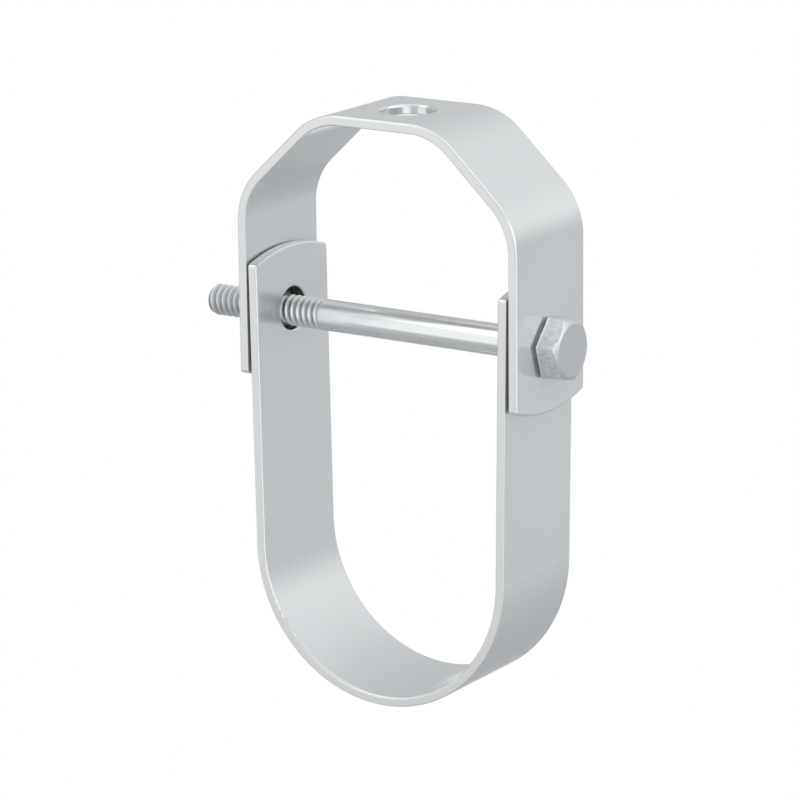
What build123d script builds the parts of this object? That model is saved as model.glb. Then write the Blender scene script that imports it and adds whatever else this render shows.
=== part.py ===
"""Clevis pipe hanger: a bent yoke and a U strap, hinged together on one cross bolt.

The frame is +Z up with its origin where the hanger rod's axis crosses the top
face of the yoke. +X runs along the cross bolt towards its head, and +Y runs
across the width of the strips. All sizes are in millimetres.
"""
from build123d import *
import os
from math import cos, radians, sin, sqrt

# --- Strip stock -----------------------------------------------------------
STRIP_WIDTH = 25.0
YOKE_THICKNESS = 2.0
STRAP_THICKNESS = 2.0
DIE_ROLL = 0.5          # rounding of the punched edges on the die's side
BURR_ROLL = 0.25        # rounding of the same edges on the other side

# --- What the hanger carries and hangs from --------------------------------
TUBE_OD = 54.0
TUBE_CLEARANCE = 0.5    # radial, between the tube and the strap's curve
ROD_OD = 9.525
ROD_CLEARANCE = 0.8     # radial, between the rod and its hole in the yoke

# --- Cross bolt: quarter-inch hexagon bolt ---------------------------------
BOLT_OD = 6.35
BOLT_STAND_OUT = 15.1   # threaded end, beyond the far leg of the yoke
BOLT_TIP_CHAMFER = 0.9
HEAD_ACROSS_FLATS = 11.5
HEAD_HEIGHT = 4.8       # with the washer face
HEAD_TURN = 18.0        # degrees from a corner at the top, towards -Y
WASHER_FACE_HEIGHT = 0.4
WASHER_FACE_RATIO = 0.92
HEAD_TOP_RATIO = 0.94   # flat circle on the head's end, to the width over flats
HEAD_CHAMFER_ANGLE = 30.0
HEAD_STAND_OFF = 0.2    # bearing face to the yoke's leg

# --- Lower strap -----------------------------------------------------------
STRAP_DROP = 46.3       # hole centre to the centre of the curve
STRAP_EAR_REACH = 13.2  # hole centre to the crown of the ear
STRAP_HOLE_CLEARANCE = 1.2
STRAP_LEAN = 0.8        # degrees that each leg leans outward
BOLT_SAG = 0.4          # the bolt lies this far below the strap's hole centres

# --- Yoke ------------------------------------------------------------------
YOKE_DROP = 43.7        # top face to the bolt's axis
YOKE_EAR_REACH = 12.9   # bolt's axis to the crown of the leg's end
YOKE_HOLE_CLEARANCE = 0.4
YOKE_TOP_FLAT = 28.2    # across the top, between the sharp outer corners
YOKE_SHOULDER_DROP = 17.5
YOKE_TOP_BEND = 12.6    # inside radius
YOKE_LOWER_BEND = 12.6  # inside radius
EAR_GAP = 0.45          # ear to yoke leg, where they come nearest

# --- Ends of both strips ---------------------------------------------------
END_RADIUS = 38.0
END_CORNER_RADIUS = 0.8

# --- Allowances for building -----------------------------------------------
OVERRUN = 5.0           # how far punches and trimming tools run past the metal
FIT_TOLERANCE = 1e-3    # for telling edges apart

# --- Sizes worked out from the ones above ----------------------------------
half_width = STRIP_WIDTH / 2
bolt_radius = BOLT_OD / 2
seat_radius = TUBE_OD / 2 + TUBE_CLEARANCE
strap_outer_radius = seat_radius + STRAP_THICKNESS
lean = radians(STRAP_LEAN)

bolt_z = -YOKE_DROP
strap_hole_z = bolt_z + BOLT_SAG
curve_z = strap_hole_z - STRAP_DROP

ear_rise = STRAP_DROP + STRAP_EAR_REACH
ear_half_span = (strap_outer_radius + ear_rise * sin(lean)) / cos(lean)
yoke_half_inside = ear_half_span + EAR_GAP
yoke_half_outside = yoke_half_inside + YOKE_THICKNESS
bearing_x = yoke_half_outside + HEAD_STAND_OFF
bolt_length = bearing_x + yoke_half_outside + BOLT_STAND_OUT
tool_span = yoke_half_outside + OVERRUN


def inset_corner(before, corner, after, distance):
    """Move a corner of the outer bend line inward, square to both of its sides."""
    first = (Vector(corner) - Vector(before)).normalized()
    second = (Vector(after) - Vector(corner)).normalized()
    inward_first = Vector(first.Y, -first.X)
    inward_second = Vector(second.Y, -second.X)
    bisector = (inward_first + inward_second).normalized()
    return Vector(corner) + bisector * (distance / bisector.dot(inward_first))


def bent_strip(inner_line, thickness):
    """Thicken an inner bend line outward and give it the strip's width."""
    section = make_face(offset(inner_line, amount=thickness, side=Side.LEFT, closed=True))
    return extrude(Plane.XZ * section, amount=half_width, both=True)


def ear_outline(reach, tail):
    """Outline of a strip's end: straight sides, a shallow crown and round corners."""
    shoulder = reach - END_RADIUS + sqrt(END_RADIUS**2 - half_width**2)
    sides = Polyline(
        (half_width, shoulder),
        (half_width, -tail),
        (-half_width, -tail),
        (-half_width, shoulder),
    )
    crown = ThreePointArc((-half_width, shoulder), (0, reach), (half_width, shoulder))
    outline = make_face([sides, crown])
    corners = outline.vertices().sort_by(Axis.Y)[-2:]
    return fillet(corners, radius=END_CORNER_RADIUS)


def trim_ends(strip, plane, reach, tail):
    """Cut both ends of a bent strip to the ear outline, along the bolt."""
    return strip & extrude(plane * ear_outline(reach, tail), amount=tool_span, both=True)


def cross_punch(height, radius):
    """Punch for the pair of bolt holes through both legs."""
    return Pos(0, 0, height) * Rot(0, 90, 0) * Cylinder(radius, 2 * tool_span)


def skin_edges(strip, inner_line, depth):
    """Edges of one face of the strip: its sides, ends and hole rims, not its bend lines."""
    line = Plane.XZ * inner_line
    chosen = []
    for edge in strip.edges():
        middle = edge.position_at(0.5)
        away = line.distance_to(Vector(middle.X, 0, middle.Z))
        bend_line = (
            edge.geom_type == GeomType.LINE
            and abs(edge.tangent_at(0.5).Y) > 1 - FIT_TOLERANCE
        )
        if abs(away - depth) < FIT_TOLERANCE and not bend_line:
            chosen.append(edge)
    return chosen


def roll_edges(strip, inner_line, thickness, inner_roll, outer_roll):
    """Round the punched edges of both faces."""
    strip = fillet(skin_edges(strip, inner_line, 0), radius=inner_roll)
    return fillet(skin_edges(strip, inner_line, thickness), radius=outer_roll)


def yoke_bend_line():
    """Inner line of the yoke: leg, shoulder, top, shoulder, leg."""
    side = yoke_half_outside
    flat = YOKE_TOP_FLAT / 2
    foot = -(YOKE_DROP + YOKE_EAR_REACH + OVERRUN)
    outer = [
        (-side, foot),
        (-side, -YOKE_SHOULDER_DROP),
        (-flat, 0),
        (flat, 0),
        (side, -YOKE_SHOULDER_DROP),
        (side, foot),
    ]
    corners = [
        inset_corner(before, corner, after, YOKE_THICKNESS)
        for before, corner, after in zip(outer, outer[1:], outer[2:])
    ]
    start = (-yoke_half_inside, foot)
    end = (yoke_half_inside, foot)
    bends = [YOKE_LOWER_BEND, YOKE_TOP_BEND, YOKE_TOP_BEND, YOKE_LOWER_BEND]
    return FilletPolyline(start, *corners, end, radius=bends)


def make_yoke():
    """Upper strip, bent over five flats, with the rod hole and the bolt holes."""
    line = yoke_bend_line()
    yoke = bent_strip(line, YOKE_THICKNESS)
    end_plane = Plane((0, 0, bolt_z), x_dir=(0, 1, 0), z_dir=(-1, 0, 0))
    yoke = trim_ends(yoke, end_plane, YOKE_EAR_REACH, YOKE_DROP + OVERRUN)
    yoke -= cross_punch(bolt_z, bolt_radius + YOKE_HOLE_CLEARANCE)
    yoke -= Cylinder(ROD_OD / 2 + ROD_CLEARANCE, 2 * (YOKE_THICKNESS + OVERRUN))
    return roll_edges(yoke, line, YOKE_THICKNESS, BURR_ROLL, DIE_ROLL)


def strap_bend_line():
    """Inner line of the strap: a leaning leg, the pipe's curve and the other leg."""
    touch_x = seat_radius * cos(lean)
    touch_z = curve_z - seat_radius * sin(lean)
    leg = ear_rise + OVERRUN
    top_x = touch_x + leg * sin(lean)
    top_z = touch_z + leg * cos(lean)
    right_leg = Line((top_x, top_z), (touch_x, touch_z))
    curve = ThreePointArc((touch_x, touch_z), (0, curve_z - seat_radius), (-touch_x, touch_z))
    left_leg = Line((-touch_x, touch_z), (-top_x, top_z))
    return Wire([right_leg.edge(), curve.edge(), left_leg.edge()])


def make_lower_strap():
    """U strap with its two ears, which hangs inside the yoke's legs."""
    line = strap_bend_line()
    strap = bent_strip(line, STRAP_THICKNESS)
    end_plane = Plane((0, 0, strap_hole_z), x_dir=(0, 1, 0), z_dir=(1, 0, 0))
    tail = STRAP_DROP + strap_outer_radius + OVERRUN
    strap = trim_ends(strap, end_plane, STRAP_EAR_REACH, tail)
    strap -= cross_punch(strap_hole_z, bolt_radius + STRAP_HOLE_CLEARANCE)
    return roll_edges(strap, line, STRAP_THICKNESS, DIE_ROLL, BURR_ROLL)


def make_cross_bolt():
    """Hexagon bolt lying along X: shank, washer face and chamfered head."""
    shank = Cylinder(bolt_radius, bolt_length, align=(Align.CENTER, Align.CENTER, Align.MAX))
    tip = shank.edges().filter_by(GeomType.CIRCLE).sort_by(Axis.Z)[0]
    shank = chamfer(tip, length=BOLT_TIP_CHAMFER)

    flats = HEAD_ACROSS_FLATS / 2
    washer = Cylinder(
        flats * WASHER_FACE_RATIO,
        WASHER_FACE_HEIGHT,
        align=(Align.CENTER, Align.CENTER, Align.MIN),
    )
    hexagon = RegularPolygon(flats, 6, major_radius=False, rotation=90 + HEAD_TURN)
    block_height = HEAD_HEIGHT - WASHER_FACE_HEIGHT
    block = extrude(Pos(0, 0, WASHER_FACE_HEIGHT) * hexagon, amount=block_height)

    top_radius = flats * HEAD_TOP_RATIO
    slope = sin(radians(HEAD_CHAMFER_ANGLE)) / cos(radians(HEAD_CHAMFER_ANGLE))
    base_radius = top_radius + HEAD_HEIGHT / slope
    cone = Cone(base_radius, top_radius, HEAD_HEIGHT, align=(Align.CENTER, Align.CENTER, Align.MIN))
    head = washer + (block & cone)

    bolt_plane = Plane((bearing_x, 0, bolt_z), x_dir=(0, 1, 0), z_dir=(1, 0, 0))
    return bolt_plane * (shank + head)


def main():
    """Write each piece as its own STEP file."""
    os.makedirs("parts", exist_ok=True)
    pieces = {
        "yoke": make_yoke(),
        "lower_strap": make_lower_strap(),
        "cross_bolt": make_cross_bolt(),
    }
    for name, piece in pieces.items():
        export_step(piece, f"parts/{name}.step")


main()
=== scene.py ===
"""Looks of a clevis pipe hanger: zinc-plated strips, a threaded cross bolt and a white studio.

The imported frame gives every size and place. The two bent strips keep their own
meshes and get a finish. The bolt is modelled again here, with its thread cut.
Lengths in the finishes and in the bolt are millimetres. In the studio they are
metres, apart from the floor's drop and the camera's aim and distance, which are
millimetres too.
"""
import logging
import math
from dataclasses import dataclass
from enum import Enum
from typing import Any, Callable, Optional

import bpy
from mathutils import Matrix, Vector


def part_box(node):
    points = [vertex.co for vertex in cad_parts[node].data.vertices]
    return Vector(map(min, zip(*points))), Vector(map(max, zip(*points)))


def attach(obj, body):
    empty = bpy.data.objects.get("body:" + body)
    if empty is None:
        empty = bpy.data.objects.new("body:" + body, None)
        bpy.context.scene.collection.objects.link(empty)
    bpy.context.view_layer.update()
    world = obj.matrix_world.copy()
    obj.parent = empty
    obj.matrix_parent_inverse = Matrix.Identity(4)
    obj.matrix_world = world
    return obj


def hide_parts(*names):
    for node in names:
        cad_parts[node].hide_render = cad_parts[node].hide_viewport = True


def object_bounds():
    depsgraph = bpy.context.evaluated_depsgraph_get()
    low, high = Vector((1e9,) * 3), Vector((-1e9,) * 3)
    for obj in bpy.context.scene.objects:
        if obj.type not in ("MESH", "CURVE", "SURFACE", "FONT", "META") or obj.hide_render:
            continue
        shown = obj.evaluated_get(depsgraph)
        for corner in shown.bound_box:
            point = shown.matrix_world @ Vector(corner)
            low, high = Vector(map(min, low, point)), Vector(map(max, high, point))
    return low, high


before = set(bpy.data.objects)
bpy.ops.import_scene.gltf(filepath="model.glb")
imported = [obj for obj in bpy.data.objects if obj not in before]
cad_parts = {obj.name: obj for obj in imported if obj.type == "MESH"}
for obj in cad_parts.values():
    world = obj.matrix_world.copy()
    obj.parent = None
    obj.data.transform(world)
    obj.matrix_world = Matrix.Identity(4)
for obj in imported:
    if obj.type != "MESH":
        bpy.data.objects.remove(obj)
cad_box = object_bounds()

MM = 0.001

logging.basicConfig(level=logging.INFO, format="%(message)s")
log = logging.getLogger("hanger")

Colour = tuple[float, float, float, float]
Triple = tuple[float, float, float]


# --------------------------------------------------------------------------
# Shader graphs
# --------------------------------------------------------------------------
class Signal:
    """A value that varies over a surface. Numbers take Python arithmetic."""

    def __init__(self, graph: "Graph", socket: Optional[bpy.types.NodeSocket]) -> None:
        """Wrap an output socket.

        Args:
            graph: The graph that new maths nodes are added to.
            socket: The output socket that carries the value, if there is one.
        """
        self.graph = graph
        self.socket = socket

    def _maths(
        self, operation: str, first: Any, second: Any, clamp: bool = False
    ) -> "Signal":
        """Add one Math node.

        Args:
            operation: The node's operation, such as MULTIPLY.
            first: Its first value or signal.
            second: Its second value or signal.
            clamp: Whether the result is kept between 0 and 1.

        Returns:
            The node's result.
        """
        settings = {"operation": operation, "use_clamp": clamp}
        return self.graph.node("ShaderNodeMath", settings, {0: first, 1: second})

    def __add__(self, other: Any) -> "Signal":
        """Sum."""
        return self._maths("ADD", self, other)

    def __radd__(self, other: Any) -> "Signal":
        """Sum, number first."""
        return self._maths("ADD", other, self)

    def __sub__(self, other: Any) -> "Signal":
        """Difference."""
        return self._maths("SUBTRACT", self, other)

    def __rsub__(self, other: Any) -> "Signal":
        """Difference, number first."""
        return self._maths("SUBTRACT", other, self)

    def __mul__(self, other: Any) -> "Signal":
        """Product."""
        return self._maths("MULTIPLY", self, other)

    def __truediv__(self, other: Any) -> "Signal":
        """Quotient."""
        return self._maths("DIVIDE", self, other)

    def __abs__(self) -> "Signal":
        """Distance from zero."""
        return self._maths("ABSOLUTE", self, 0.0)

    def clamped(self) -> "Signal":
        """Keep the number between 0 and 1."""
        return self._maths("ADD", self, 0.0, clamp=True)

    def above(self, level: float, softness: float) -> "Signal":
        """Rise from 0 to 1 where the number passes a level.

        Args:
            level: Where the rise starts.
            softness: How far past the level the rise ends.

        Returns:
            The mask.
        """
        return ((self - level) / softness).clamped()


@dataclass(frozen=True)
class Noise:
    """Cloudy noise between 0 and 1.

    Attributes:
        scale: Cells per metre, before stretching.
        detail: How many finer layers it has.
        roughness: How strong the finer layers are.
        stretch: Factors on the scale along the three axes.
    """

    scale: float
    detail: float
    roughness: float
    stretch: Triple = (1.0, 1.0, 1.0)


class Graph:
    """Builds one material's or the world's node tree."""

    def __init__(self, tree: bpy.types.NodeTree) -> None:
        """Start from an empty tree.

        Args:
            tree: The node tree to fill.
        """
        self.tree = tree
        tree.nodes.clear()

    def node(
        self,
        kind: str,
        settings: Optional[dict[str, Any]] = None,
        inputs: Optional[dict[Any, Any]] = None,
        output: Any = 0,
    ) -> Signal:
        """Add a node, set it up and connect it.

        Args:
            kind: The node's type name.
            settings: Attributes to set first, by name.
            inputs: Values or signals for the node's sockets, by name or number.
            output: The output socket that is returned, by name or number.

        Returns:
            The chosen output.
        """
        made = self.tree.nodes.new(kind)
        for name, value in (settings or {}).items():
            setattr(made, name, value)
        for name, value in (inputs or {}).items():
            if isinstance(value, Signal):
                self.tree.links.new(value.socket, made.inputs[name])
            else:
                made.inputs[name].default_value = value
        return Signal(self, made.outputs[output] if made.outputs else None)

    def place(self, scale: Triple = (1.0, 1.0, 1.0)) -> Signal:
        """Place on the piece in its own frame, stretched by a scale."""
        at = self.node("ShaderNodeTexCoord", output="Object")
        inputs = {"Vector": at, "Scale": scale}
        return self.node("ShaderNodeMapping", {"vector_type": "POINT"}, inputs)

    def axis(self, letter: str) -> Signal:
        """One coordinate of the place on the piece, in metres."""
        at = self.node("ShaderNodeTexCoord", output="Object")
        return self.node("ShaderNodeSeparateXYZ", inputs={0: at}, output=letter)

    def out_from(self, point: Vector, keep: Triple) -> Signal:
        """Distance from a line through a point, in metres.

        Args:
            point: Where the line passes.
            keep: 1 for the axes across the line and 0 for the one along it.

        Returns:
            The distance.
        """
        maths = "ShaderNodeVectorMath"
        away = self.node(maths, {"operation": "SUBTRACT"}, {0: self.place(), 1: point})
        flat = self.node(maths, {"operation": "MULTIPLY"}, {0: away, 1: keep})
        return self.node(maths, {"operation": "LENGTH"}, {0: flat}, "Value")

    def noise(self, kind: Noise) -> Signal:
        """Cloudy noise of one kind over the piece."""
        inputs = {
            "Vector": self.place(kind.stretch),
            "Scale": kind.scale,
            "Detail": kind.detail,
            "Roughness": kind.roughness,
        }
        return self.node("ShaderNodeTexNoise", {"noise_dimensions": "3D"}, inputs, "Fac")

    def blend(self, factor: Any, first: Any, second: Any) -> Signal:
        """Mix two colours by a factor."""
        settings = {"data_type": "RGBA", "blend_type": "MIX"}
        return self.node("ShaderNodeMix", settings, {0: factor, 6: first, 7: second}, output=2)

    def bump(self, height: Signal, distance: float, strength: float) -> Signal:
        """Turn a height between 0 and 1 into a surface normal."""
        inputs = {"Height": height, "Distance": distance, "Strength": strength}
        return self.node("ShaderNodeBump", inputs=inputs)

    def plate(self, colour: Signal, metal: float, rough: Signal, normal: Signal) -> None:
        """End the graph as plated metal.

        Args:
            colour: The plating's colour.
            metal: How metallic it is, from 0 to 1.
            rough: Its roughness.
            normal: Its bumped normal.
        """
        inputs = {
            "Base Color": colour,
            "Metallic": metal,
            "Roughness": rough,
            "Normal": normal,
        }
        shader = self.node("ShaderNodeBsdfPrincipled", inputs=inputs)
        self.node("ShaderNodeOutputMaterial", inputs={"Surface": shader})


def new_finish(name: str) -> tuple[bpy.types.Material, Graph]:
    """Make an empty material and the graph that fills it."""
    made = bpy.data.materials.new(name)
    made.use_nodes = True
    return made, Graph(made.node_tree)


# --------------------------------------------------------------------------
# Finishes
# --------------------------------------------------------------------------
@dataclass(frozen=True)
class StripZinc:
    """Satin zinc plating on cold-rolled strip, with paler sheared edges and painted shade on
    the walls of the bolt's holes.

    Attributes:
        pale_from: Level of the clouding at which the face starts to turn pale.
        pale_rise: How far past that level it is fully pale.
        edge_band: Width over which a face fades into its sheared edge.
        hole_reach: Radius round the bolt's line that takes in the hole walls.
        hole_rise: How far the holes' middle lies above the bolt's.
        outer_skin: Distance from the middle, along the bolt, where the walls end.
    """

    face: Colour = (0.765, 0.79, 0.80, 1.0)
    cloud: Colour = (0.735, 0.76, 0.77, 1.0)
    edge: Colour = (0.76, 0.765, 0.765, 1.0)
    # Colour of the painted shade in the bolt's holes.
    hole_painted_shade: Colour = (0.20, 0.205, 0.21, 1.0)
    metal: float = 0.75
    clouds: Noise = Noise(55.0, 4.0, 0.55)
    grain: Noise = Noise(12.0, 3.0, 0.6, (1.0, 160.0, 1.0))
    flecks: Noise = Noise(1400.0, 2.0, 0.6)
    cloud_share: float = 0.85
    grain_share: float = 0.15
    pale_from: float = 0.35
    pale_rise: float = 0.35
    roughness: float = 0.20
    cloud_roughness: float = 0.08
    grain_roughness: float = 0.04
    edge_roughness: float = 0.42
    edge_band: float = 0.35
    fleck_height: float = 0.65
    grain_height: float = 0.35
    bump_depth: float = 0.003
    bump_strength: float = 0.6
    hole_reach: float = 4.42
    hole_rise: float = 0.4
    hole_blur: float = 0.12
    outer_skin: float = 32.4

    def hole_shade_mask(self, graph: Graph) -> Signal:
        """Mask of the painted shade on the walls of the bolt's holes and on a thin ring round
        them.

        Args:
            graph: The material's graph.

        Returns:
            1 on the walls, 0 on the faces.
        """
        low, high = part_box("cross_bolt")
        middle = (low + high) / 2 + Vector((0, 0, self.hole_rise * MM))
        out = graph.out_from(middle, (0.0, 1.0, 1.0))
        blur = self.hole_blur * MM
        within = 1.0 - out.above(self.hole_reach * MM, blur)
        return within * (1.0 - abs(graph.axis("X")).above(self.outer_skin * MM, blur))

    def material(self, name: str) -> bpy.types.Material:
        """Build the finish.

        Args:
            name: The material's name.

        Returns:
            The material.
        """
        made, graph = new_finish(name)
        across = abs(graph.axis("Y"))
        low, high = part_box("yoke")
        inside = (high.y - low.y) / 2 - self.edge_band * MM
        edge = across.above(inside, self.edge_band * MM)
        clouds = graph.noise(self.clouds)
        grain = graph.noise(self.grain)
        flecks = graph.noise(self.flecks)

        pale = clouds * self.cloud_share + grain * self.grain_share
        pale = pale.above(self.pale_from, self.pale_rise)
        colour = graph.blend(edge, graph.blend(pale, self.cloud, self.face), self.edge)
        # Painted shade: the hole walls and a thin ring round them are darkened to stand in for
        # the shade inside the holes.
        colour = graph.blend(self.hole_shade_mask(graph), colour, self.hole_painted_shade)
        rough = self.roughness + (clouds - 0.5) * self.cloud_roughness
        rough = rough + (grain - 0.5) * self.grain_roughness
        rough = rough + edge * (self.edge_roughness - self.roughness)
        height = flecks * self.fleck_height + grain * self.grain_height
        normal = graph.bump(height, self.bump_depth * MM, self.bump_strength)
        graph.plate(colour, self.metal, rough, normal)
        return made


@dataclass(frozen=True)
class BoltZinc:
    """Bright zinc plating on a drawn and forged bolt.

    Attributes:
        thread_end: Place along the bolt where the thread's finish stops.
        groove_from: Radius under which the thread's groove gets painted shade.
        head_start: Place along the bolt where the head's finish starts.
        marks_end: Place along the bolt where the forge marks stop.
        mottle_from: Level of the forge noise at which its colour turns.
        mottle_rise: How far past that level it has turned.
    """

    shank: Colour = (0.76, 0.77, 0.775, 1.0)
    forged: Colour = (0.63, 0.645, 0.67, 1.0)
    rubbed: Colour = (0.76, 0.775, 0.80, 1.0)
    # Colour of the painted shade in the thread's grooves.
    groove_painted_shade: Colour = (0.53, 0.54, 0.55, 1.0)
    metal: float = 0.85
    drawing: Noise = Noise(900.0, 2.0, 0.5, (0.04, 1.0, 1.0))
    forging: Noise = Noise(1500.0, 3.0, 0.65, (0.6, 1.0, 1.0))
    roughness: float = 0.16
    forged_roughness: float = 0.28
    thread_roughness: float = 0.36
    drawn_spread: float = 0.08
    forged_spread: float = 0.1
    thread_end: float = -20.2
    thread_blur: float = 0.5
    groove_from: float = 2.5
    groove_rise: float = 0.6
    head_start: float = 33.0
    head_blur: float = 0.1
    marks_end: float = 37.3
    marks_blur: float = 0.2
    mottle_from: float = 0.42
    mottle_rise: float = 0.16
    drawn_height: float = 0.12
    bump_depth: float = 0.07
    bump_strength: float = 0.5

    def material(self, name: str) -> bpy.types.Material:
        """Build the finish.

        Args:
            name: The material's name.

        Returns:
            The material.
        """
        made, graph = new_finish(name)
        along = graph.axis("X")
        on_head = along.above(self.head_start * MM, self.head_blur * MM)
        on_thread = 1.0 - along.above(self.thread_end * MM, self.thread_blur * MM)
        marks = on_head * (1.0 - along.above(self.marks_end * MM, self.marks_blur * MM))
        drawn = graph.noise(self.drawing)
        forged = graph.noise(self.forging)

        mottle = forged.above(self.mottle_from, self.mottle_rise) * marks
        tone = graph.blend(mottle, self.forged, self.rubbed)
        low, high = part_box("cross_bolt")
        out = graph.out_from((low + high) / 2, (0.0, 1.0, 1.0))
        # Painted shade: the thread's grooves are darkened where they would lie in shade.
        groove_shade_mask = 1.0 - out.above(self.groove_from * MM, self.groove_rise * MM)
        plain = graph.blend(on_thread * groove_shade_mask, self.shank, self.groove_painted_shade)
        colour = graph.blend(on_head, plain, tone)
        rough = self.roughness + drawn * self.drawn_spread
        rough = rough + on_head * (self.forged_roughness - self.roughness)
        rough = rough + on_head * forged * self.forged_spread
        rough = rough + on_thread * (self.thread_roughness - self.roughness)
        height = forged * marks + drawn * self.drawn_height
        normal = graph.bump(height, self.bump_depth * MM, self.bump_strength)
        graph.plate(colour, self.metal, rough, normal)
        return made


def dress(piece: bpy.types.Object, material: bpy.types.Material) -> None:
    """Give a piece one finish all over.

    Args:
        piece: The object to dress.
        material: Its finish.
    """
    piece.data.materials.clear()
    piece.data.materials.append(material)


# --------------------------------------------------------------------------
# Modelling helpers
# --------------------------------------------------------------------------
def deselect_all() -> None:
    """Leave object mode with nothing selected."""
    if bpy.context.mode != "OBJECT":
        bpy.ops.object.mode_set(mode="OBJECT")
    bpy.ops.object.select_all(action="DESELECT")


def take(piece: bpy.types.Object) -> None:
    """Make a piece the only selected and active one."""
    deselect_all()
    piece.select_set(True)
    bpy.context.view_layer.objects.active = piece


def in_edit(
    piece: bpy.types.Object, domain: str, chosen: Callable[[Any], bool]
) -> None:
    """Enter edit mode on a piece with part of it selected.

    Args:
        piece: The object to edit.
        domain: VERT, EDGE or FACE.
        chosen: Tells for one element whether it is selected.
    """
    take(piece)
    mesh = piece.data
    for item in (*mesh.polygons, *mesh.edges, *mesh.vertices):
        item.select = False
    items = {"VERT": mesh.vertices, "EDGE": mesh.edges, "FACE": mesh.polygons}[domain]
    for item in items:
        item.select = chosen(item)
    bpy.ops.object.mode_set(mode="EDIT")
    bpy.ops.mesh.select_mode(type=domain)


def leave_edit() -> None:
    """Go back to object mode."""
    bpy.ops.object.mode_set(mode="OBJECT")


class Cut(Enum):
    """How one solid acts on another."""

    KEEP_SHARED = "INTERSECT"
    JOIN = "UNION"


def combine(piece: bpy.types.Object, tool: bpy.types.Object, cut: Cut) -> None:
    """Trim one solid to another or join the two. The other is used up.

    Args:
        piece: The solid that stays.
        tool: The solid that acts on it.
        cut: What is done.
    """
    take(piece)
    modifier = piece.modifiers.new("cut", "BOOLEAN")
    modifier.operation = cut.value
    modifier.solver = "EXACT"
    modifier.object = tool
    bpy.ops.object.modifier_apply(modifier=modifier.name)
    bpy.data.objects.remove(tool, do_unlink=True)


def tidy_mesh(piece: bpy.types.Object, distance: float) -> None:
    """Merge doubles and point the faces outwards.

    Args:
        piece: The object to tidy.
        distance: Points nearer than this many millimetres are merged.
    """
    in_edit(piece, "VERT", lambda vertex: True)
    bpy.ops.mesh.remove_doubles(threshold=distance * MM)
    bpy.ops.mesh.normals_make_consistent(inside=False)
    leave_edit()


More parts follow.
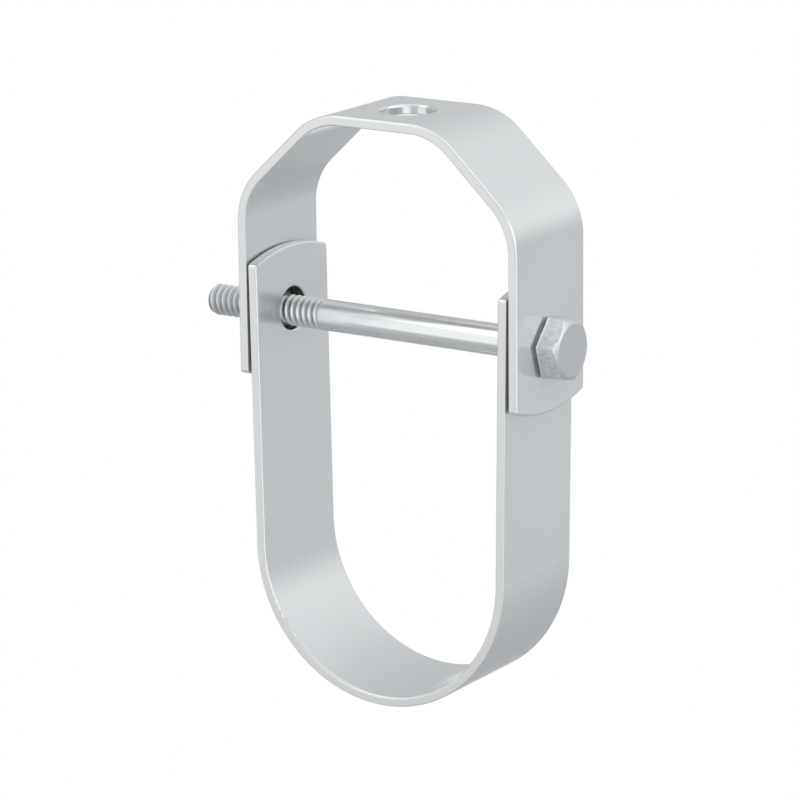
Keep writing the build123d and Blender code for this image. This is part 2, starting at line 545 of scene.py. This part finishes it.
# --------------------------------------------------------------------------
# The cross bolt
# --------------------------------------------------------------------------
@dataclass
class CrossBolt:
    """Hexagon bolt with a cut thread, modelled upright and laid along +X.

    Attributes:
        runout: Length over which the thread fades into the shank.
        spare_turns: Turns wound past each end, which are trimmed away.
        trim_over: How far the trimming bar stands out past the crests.
        hex_overlap: How far the washer face reaches up inside the hexagon.
        cone_over: Radius of the trimming cone's foot, in head corners.
        round_above: Angle between faces above which an edge is softened.
        merge: Points nearer than this are merged.
        hair: A height in metres that counts as none.
        down: How steeply a face looks down to count as an underside.
    """

    body: str = "cross_bolt"
    node: str = "cross_bolt"
    finish: BoltZinc = BoltZinc()
    thread_od: float = 6.35
    pitch: float = 1.41
    thread_depth: float = 0.80
    thread_length: float = 28.0
    crest_width: float = 0.17
    flank_angle: float = 30.0
    runout: float = 2.0
    spare_turns: int = 2
    trim_over: float = 0.12
    tip_chamfer: float = 0.95
    tip_steepness: float = 0.9
    shank_od: float = 6.36
    hex_overlap: float = 0.5
    smooth_angle: float = 32.0
    merge: float = 0.002
    hair: float = 1e-6
    across_flats: float = 11.5
    head_height: float = 4.8
    head_turn: float = 18.0
    washer_height: float = 0.4
    washer_ratio: float = 0.80
    top_ratio: float = 0.91
    chamfer_angle: float = 30.0
    cone_over: float = 1.5
    edge_round: float = 0.18
    round_above: float = 24.0
    round_steps: int = 3
    lip_height: float = 0.32
    lip_flare: float = 0.28
    down: float = 0.9
    around: int = 72
    steps_per_turn: int = 48

    def __post_init__(self) -> None:
        """Read the bolt's place from the frame."""
        low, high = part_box(self.node)
        middle = (low + high) / 2
        self.tip_at = Vector((low.x, middle.y, middle.z))
        self.length = (high.x - low.x) / MM - self.head_height

    def thread(self) -> bpy.types.Object:
        """Wind one pitch of the thread's outline up the bolt and close its ends.

        Returns:
            The thread as a closed solid that starts below the tip.
        """
        deselect_all()
        crest = self.thread_od / 2
        root = crest - self.thread_depth
        flank = self.thread_depth * math.tan(math.radians(self.flank_angle))
        foot = (self.pitch - 2 * flank - self.crest_width) / 2
        ease = self.crest_width / 2
        drop, reach = ease / 2, ease / 3
        rise = foot + flank
        fall = rise + self.crest_width
        outline = (
            (root, 0.0),
            (root, foot),
            (crest - drop, rise - reach),
            (crest, rise + drop),
            (crest, fall - drop),
            (crest - drop, fall + reach),
            (root, self.pitch - foot),
            (root, self.pitch),
        )
        bpy.ops.mesh.primitive_circle_add(
            vertices=len(outline), radius=MM, fill_type="NOTHING"
        )
        wound = bpy.context.object
        wound.name = "thread"
        lowest = -self.pitch * self.spare_turns
        for vertex, (radius, height) in zip(wound.data.vertices, outline):
            vertex.co = (radius * MM, 0.0, (height + lowest) * MM)
        last = {0, len(outline) - 1}
        in_edit(wound, "EDGE", lambda edge: set(edge.vertices) == last)
        bpy.ops.mesh.delete(type="EDGE_FACE")
        leave_edit()
        turns = math.ceil(self.thread_length / self.pitch) + 2 * self.spare_turns
        screw = wound.modifiers.new("wind", "SCREW")
        screw.axis = "Z"
        screw.angle = 2 * math.pi
        screw.screw_offset = self.pitch * MM
        screw.iterations = turns
        screw.steps = self.steps_per_turn
        screw.render_steps = self.steps_per_turn
        screw.use_smooth_shade = False
        bpy.ops.object.modifier_apply(modifier=screw.name)
        tidy_mesh(wound, self.merge)
        in_edit(wound, "VERT", lambda vertex: False)
        bpy.ops.mesh.select_non_manifold()
        bpy.ops.mesh.edge_face_add()
        leave_edit()
        tidy_mesh(wound, self.merge)
        return wound

    def bar(
        self, name: str, radius: float, depth: float, middle: float
    ) -> bpy.types.Object:
        """Make an upright round bar on the bolt's line.

        Args:
            name: The bar's name.
            radius: Its radius.
            depth: Its length.
            middle: The height of its middle.

        Returns:
            The bar.
        """
        deselect_all()
        bpy.ops.mesh.primitive_cylinder_add(
            vertices=self.around,
            radius=radius * MM,
            depth=depth * MM,
            location=(0, 0, middle * MM),
        )
        made = bpy.context.object
        made.name = name
        bpy.ops.object.transform_apply(location=True)
        return made

    def envelope(self) -> bpy.types.Object:
        """Make the room that the thread is trimmed to, with the tip's chamfer.

        Returns:
            A round bar a little over the thread's size, pointed at z = 0.
        """
        over = self.thread_od / 2 + self.trim_over
        bar = self.bar("envelope", over, self.thread_length, self.thread_length / 2)
        width = self.tip_chamfer + self.trim_over
        in_edit(bar, "FACE", lambda face: face.center.z < self.hair)
        bpy.ops.mesh.inset(thickness=width * MM)
        bpy.ops.transform.translate(value=(0, 0, -width * self.tip_steepness * MM))
        bpy.ops.mesh.select_all(action="SELECT")
        bpy.ops.transform.translate(value=(0, 0, width * self.tip_steepness * MM))
        leave_edit()
        return bar

    def shank(self) -> bpy.types.Object:
        """Make the plain shank, with the cone that the thread runs out on.

        Returns:
            The shank, from inside the thread to inside the head.
        """
        top = self.length + self.washer_height / 2
        bottom = self.thread_length - self.runout
        bar = self.bar("shank", self.shank_od / 2, top - bottom, (top + bottom) / 2)
        sunk = (self.shank_od - self.thread_od) / 2 + self.thread_depth + self.trim_over
        in_edit(bar, "FACE", lambda face: face.center.z < bottom * MM + self.hair)
        bpy.ops.mesh.inset(thickness=sunk * MM)
        leave_edit()
        rim = (self.shank_od / 2 - sunk / 2) * MM
        in_edit(
            bar,
            "VERT",
            lambda v: v.co.z < bottom * MM + self.hair and v.co.xy.length > rim,
        )
        bpy.ops.transform.translate(value=(0, 0, self.runout * MM))
        leave_edit()
        return bar

    def hexagon(self) -> bpy.types.Object:
        """Make the hexagon block, with the small lip at its bearing side.

        Returns:
            The block, its corners still sharp.
        """
        deselect_all()
        hex_height = self.head_height - self.washer_height
        foot = self.length + self.washer_height
        corner = self.across_flats / math.sqrt(3)
        bpy.ops.mesh.primitive_cylinder_add(
            vertices=6,
            radius=corner * MM,
            depth=hex_height * MM,
            location=(0, 0, (foot + hex_height / 2) * MM),
            rotation=(0, 0, math.radians(self.head_turn)),
        )
        block = bpy.context.object
        block.name = "head"
        bpy.ops.object.transform_apply(location=True, rotation=True)
        seam = Vector((0, 0, (foot + self.lip_height) * MM))
        in_edit(block, "FACE", lambda face: True)
        bpy.ops.mesh.bisect(plane_co=seam, plane_no=(0, 0, 1))
        leave_edit()
        in_edit(block, "VERT", lambda v: v.co.z < foot * MM + self.hair)
        flare = 1 + self.lip_flare / corner
        bpy.ops.transform.resize(value=(flare, flare, 1))
        leave_edit()
        return block

    def chamfer(self) -> bpy.types.Object:
        """Make the cone that the head's upper corners are trimmed to.

        Returns:
            The cone, drawn down past the head's foot.
        """
        deselect_all()
        flat_radius = self.top_ratio * self.across_flats / 2
        wide = self.across_flats / math.sqrt(3) * self.cone_over
        drop = (wide - flat_radius) * math.tan(math.radians(self.chamfer_angle))
        top = self.length + self.head_height
        bpy.ops.mesh.primitive_cone_add(
            vertices=self.around,
            radius1=wide * MM,
            radius2=flat_radius * MM,
            depth=drop * MM,
            location=(0, 0, (top - drop / 2) * MM),
        )
        cone = bpy.context.object
        bpy.ops.object.transform_apply(location=True)
        in_edit(cone, "FACE", lambda face: face.normal.z < -self.down)
        bpy.ops.mesh.extrude_region_move(
            TRANSFORM_OT_translate={"value": (0, 0, -self.head_height * MM)}
        )
        leave_edit()
        return cone

    def head(self) -> bpy.types.Object:
        """Make the head: chamfered hexagon, softened edges and washer face.

        Returns:
            The head, its bearing face at the shank's upper end.
        """
        block = self.hexagon()
        combine(block, self.chamfer(), Cut.KEEP_SHARED)
        bevel = block.modifiers.new("soft edges", "BEVEL")
        bevel.width = self.edge_round * MM
        bevel.segments = self.round_steps
        bevel.limit_method = "ANGLE"
        bevel.angle_limit = math.radians(self.round_above)
        take(block)
        bpy.ops.object.modifier_apply(modifier=bevel.name)
        tidy_mesh(block, self.merge)
        radius = self.washer_ratio * self.across_flats / 2
        height = self.washer_height + self.hex_overlap
        collar = self.bar("washer face", radius, height, self.length + height / 2)
        combine(block, collar, Cut.JOIN)
        return block

    def build(self) -> bpy.types.Object:
        """Model the bolt, lay it in the hanger and dress it.

        Returns:
            The finished bolt.
        """
        bolt = self.thread()
        combine(bolt, self.envelope(), Cut.KEEP_SHARED)
        combine(bolt, self.shank(), Cut.JOIN)
        combine(bolt, self.head(), Cut.JOIN)
        tidy_mesh(bolt, self.merge)
        lay = Matrix(((0, 0, 1), (1, 0, 0), (0, 1, 0))).to_4x4()
        bolt.data.transform(Matrix.Translation(self.tip_at) @ lay)
        take(bolt)
        bpy.ops.object.shade_smooth_by_angle(angle=math.radians(self.smooth_angle))
        bolt.name = "hexagon_bolt"
        bolt.data.name = "hexagon_bolt"
        dress(bolt, self.finish.material("bright zinc"))
        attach(bolt, self.body)
        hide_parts(self.node)
        return bolt


# --------------------------------------------------------------------------
# The bent strips
# --------------------------------------------------------------------------
@dataclass
class Strips:
    """The yoke and the lower strap, which keep their meshes and get a finish."""

    nodes: tuple[str, ...] = ("yoke", "lower_strap")
    finish: StripZinc = StripZinc()

    def dress(self) -> list[bpy.types.Object]:
        """Give both strips their plating.

        Returns:
            The strips.
        """
        plating = self.finish.material("satin zinc")
        pieces = [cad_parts[name] for name in self.nodes]
        for piece in pieces:
            dress(piece, plating)
        return pieces


# --------------------------------------------------------------------------
# The studio
# --------------------------------------------------------------------------
@dataclass(frozen=True)
class Lamp:
    """A softbox that points at the hanger.

    Attributes:
        name: The lamp's name.
        direction: Where it stands, seen from the hanger.
        distance: How far off it stands, in metres.
        size: Its width in metres.
        radiance: How bright its face is.
        narrow: Its other side, as a share of its width.
    """

    name: str
    direction: Triple
    distance: float
    size: float
    radiance: float
    narrow: float = 1.0

    def hang(self, aim: Vector) -> None:
        """Put the lamp in its place, pointing at a place in metres."""
        data = bpy.data.lights.new(self.name, "AREA")
        data.shape = "RECTANGLE"
        data.size = self.size
        data.size_y = self.size * self.narrow
        data.energy = self.radiance * math.pi * data.size * data.size_y
        lamp = bpy.data.objects.new(self.name, data)
        bpy.context.scene.collection.objects.link(lamp)
        away = Vector(self.direction).normalized()
        lamp.location = aim + away * self.distance
        lamp.rotation_euler = away.to_track_quat("Z", "Y").to_euler()
        lamp.visible_camera = False


@dataclass
class Studio:
    """A pale floor with painted shade under the hanger, a white pool behind it, softboxes, sky
    and camera.

    Attributes:
        floor_drop: How far the floor lies under the hanger, in millimetres.
        under_radius: Radius in metres of the painted shade on the floor under the hanger.
        pool_near: Distance in metres at which the white pool starts.
        bright_side: Direction towards the brighter side of the sky.
        haze_low: Height on the sky where the brightness starts to rise.
        aim: The point that the camera and the lamps look at, in millimetres.
        distance: From the camera to that point, in millimetres.
    """

    floor_drop: float = 500.0
    floor_size: float = 24.0
    # Painted shade: the floor's colour right under the hanger.
    floor_painted_shade: Colour = (0.48, 0.485, 0.49, 1.0)
    floor_far: Colour = (0.90, 0.905, 0.91, 1.0)
    under_radius: float = 0.6
    under_blur: float = 1.3
    pool_near: float = 1.0
    pool_near_blur: float = 0.25
    pool_half_width: float = 1.3
    pool_blur: float = 0.9
    white: Colour = (1.0, 1.0, 1.0, 1.0)
    glow: float = 1.0
    sky_dim: Colour = (0.57, 0.575, 0.58, 1.0)
    sky_bright: Colour = (1.0, 1.0, 1.0, 1.0)
    bright_side: Triple = (0.8, 0.6, 0.0)
    bright_from: float = 0.0
    bright_rise: float = 1.0
    haze_low: float = -0.05
    haze_height: float = 0.3
    lens: float = 178.7
    sensor: float = 36.0
    azimuth: float = 33.71
    elevation: float = 14.71
    roll: float = -0.62
    aim: Triple = (-3.605, 1.585, -59.541)
    distance: float = 794.7
    lamps: tuple[Lamp, ...] = (
        Lamp("overhead softbox", (0.0, 0.0, 1.0), 1.2, 2.2, 0.6, 0.6),
        Lamp("key softbox", (-0.53, -0.49, 0.69), 1.4, 0.7, 1.1),
        Lamp("right softbox", (0.91, 0.22, 0.33), 1.2, 0.55, 1.0),
        Lamp("side softbox", (0.8, -0.6, 0.05), 1.1, 1.3, 0.75),
        Lamp("front softbox", (-0.52, -0.82, 0.12), 1.0, 0.9, 0.6),
    )

    def sight(self) -> tuple[float, float]:
        """Direction of view along the floor."""
        turn = math.radians(self.azimuth)
        return -math.sin(turn), math.cos(turn)

    def floor_material(self) -> bpy.types.Material:
        """Mix the floor's pale paint, painted darker under the hanger, with the white pool
        behind it.

        Returns:
            The floor's material.
        """
        made, graph = new_finish("pale floor")
        ahead_x, ahead_y = self.sight()
        east, north = graph.axis("X"), graph.axis("Y")
        along = east * ahead_x + north * ahead_y
        across = abs(east * ahead_y - north * ahead_x)
        pool = along.above(self.pool_near, self.pool_near_blur)
        pool = pool * (1.0 - across.above(self.pool_half_width, self.pool_blur))
        seen = graph.node("ShaderNodeLightPath", output="Is Camera Ray")
        for ray in ("Is Glossy Ray", "Is Transmission Ray"):
            seen = seen + graph.node("ShaderNodeLightPath", output=ray)
        # Painted shade: the floor is darker under the hanger and paler further out.
        outward = graph.out_from(Vector((0, 0, 0)), (1.0, 1.0, 0.0))
        tone = outward.above(self.under_radius, self.under_blur)
        tone = graph.blend(tone, self.floor_painted_shade, self.floor_far)
        paint = graph.node("ShaderNodeBsdfDiffuse", inputs={"Color": tone})
        light = {"Color": self.white, "Strength": self.glow}
        white = graph.node("ShaderNodeEmission", inputs=light)
        both = graph.node(
            "ShaderNodeMixShader",
            inputs={0: seen.clamped() * pool, 1: paint, 2: white},
        )
        graph.node("ShaderNodeOutputMaterial", inputs={"Surface": both})
        return made

    def lay_floor(self) -> None:
        """Lay the floor well under the hanger."""
        deselect_all()
        low, _high = cad_box
        level = low[2] - self.floor_drop * MM
        bpy.ops.mesh.primitive_plane_add(size=self.floor_size, location=(0, 0, level))
        floor = bpy.context.object
        floor.name = "floor"
        bpy.ops.object.transform_apply(location=True)
        dress(floor, self.floor_material())

    def paint_sky(self) -> None:
        """Fill the space round the hanger with a soft, plain brightness."""
        world = bpy.data.worlds.new("sky")
        bpy.context.scene.world = world
        world.use_nodes = True
        graph = Graph(world.node_tree)
        at = graph.node("ShaderNodeTexCoord", output="Generated")
        towards = graph.node(
            "ShaderNodeVectorMath",
            {"operation": "DOT_PRODUCT"},
            {0: at, 1: self.bright_side},
            "Value",
        )
        height = graph.node("ShaderNodeSeparateXYZ", inputs={0: at}, output="Z")
        bright = towards.above(self.bright_from, self.bright_rise)
        bright = bright * height.above(self.haze_low, self.haze_height)
        colour = graph.blend(bright, self.sky_dim, self.sky_bright)
        light = {"Color": colour, "Strength": self.glow}
        sky = graph.node("ShaderNodeBackground", inputs=light)
        graph.node("ShaderNodeOutputWorld", inputs={"Surface": sky})

    def set_camera(self) -> None:
        """Stand the camera in front, right of the hanger and a little above."""
        turn = math.radians(self.azimuth)
        tilt = math.radians(self.elevation)
        back = Vector(
            (
                math.sin(turn) * math.cos(tilt),
                -math.cos(turn) * math.cos(tilt),
                math.sin(tilt),
            )
        )
        right = Vector((math.cos(turn), math.sin(turn), 0.0))
        upward = back.cross(right)
        swing = Matrix.Rotation(math.radians(self.roll), 3, back)
        right, upward = swing @ right, swing @ upward
        data = bpy.data.cameras.new("camera")
        data.lens = self.lens
        data.sensor_width = self.sensor
        camera = bpy.data.objects.new("camera", data)
        bpy.context.scene.collection.objects.link(camera)
        place = Vector(self.aim) * MM + back * self.distance * MM
        columns = Matrix((right, upward, back)).transposed()
        camera.matrix_world = Matrix.Translation(place) @ columns.to_4x4()
        bpy.context.scene.camera = camera

    def build(self) -> None:
        """Set up the floor, the sky, the lamps and the camera."""
        self.lay_floor()
        self.paint_sky()
        aim = Vector(self.aim) * MM
        for lamp in self.lamps:
            lamp.hang(aim)
        self.set_camera()
        bpy.context.scene.view_settings.view_transform = "Standard"


def main() -> None:
    """Build the hanger's looks and the studio, and log each piece."""
    for strip in Strips().dress():
        log.info("dressed %s", strip.name)
    bolt = CrossBolt().build()
    log.info("built %s with %d faces", bolt.name, len(bolt.data.polygons))
    Studio().build()
    log.info("set up the studio")


if __name__ == "__main__":
    main()
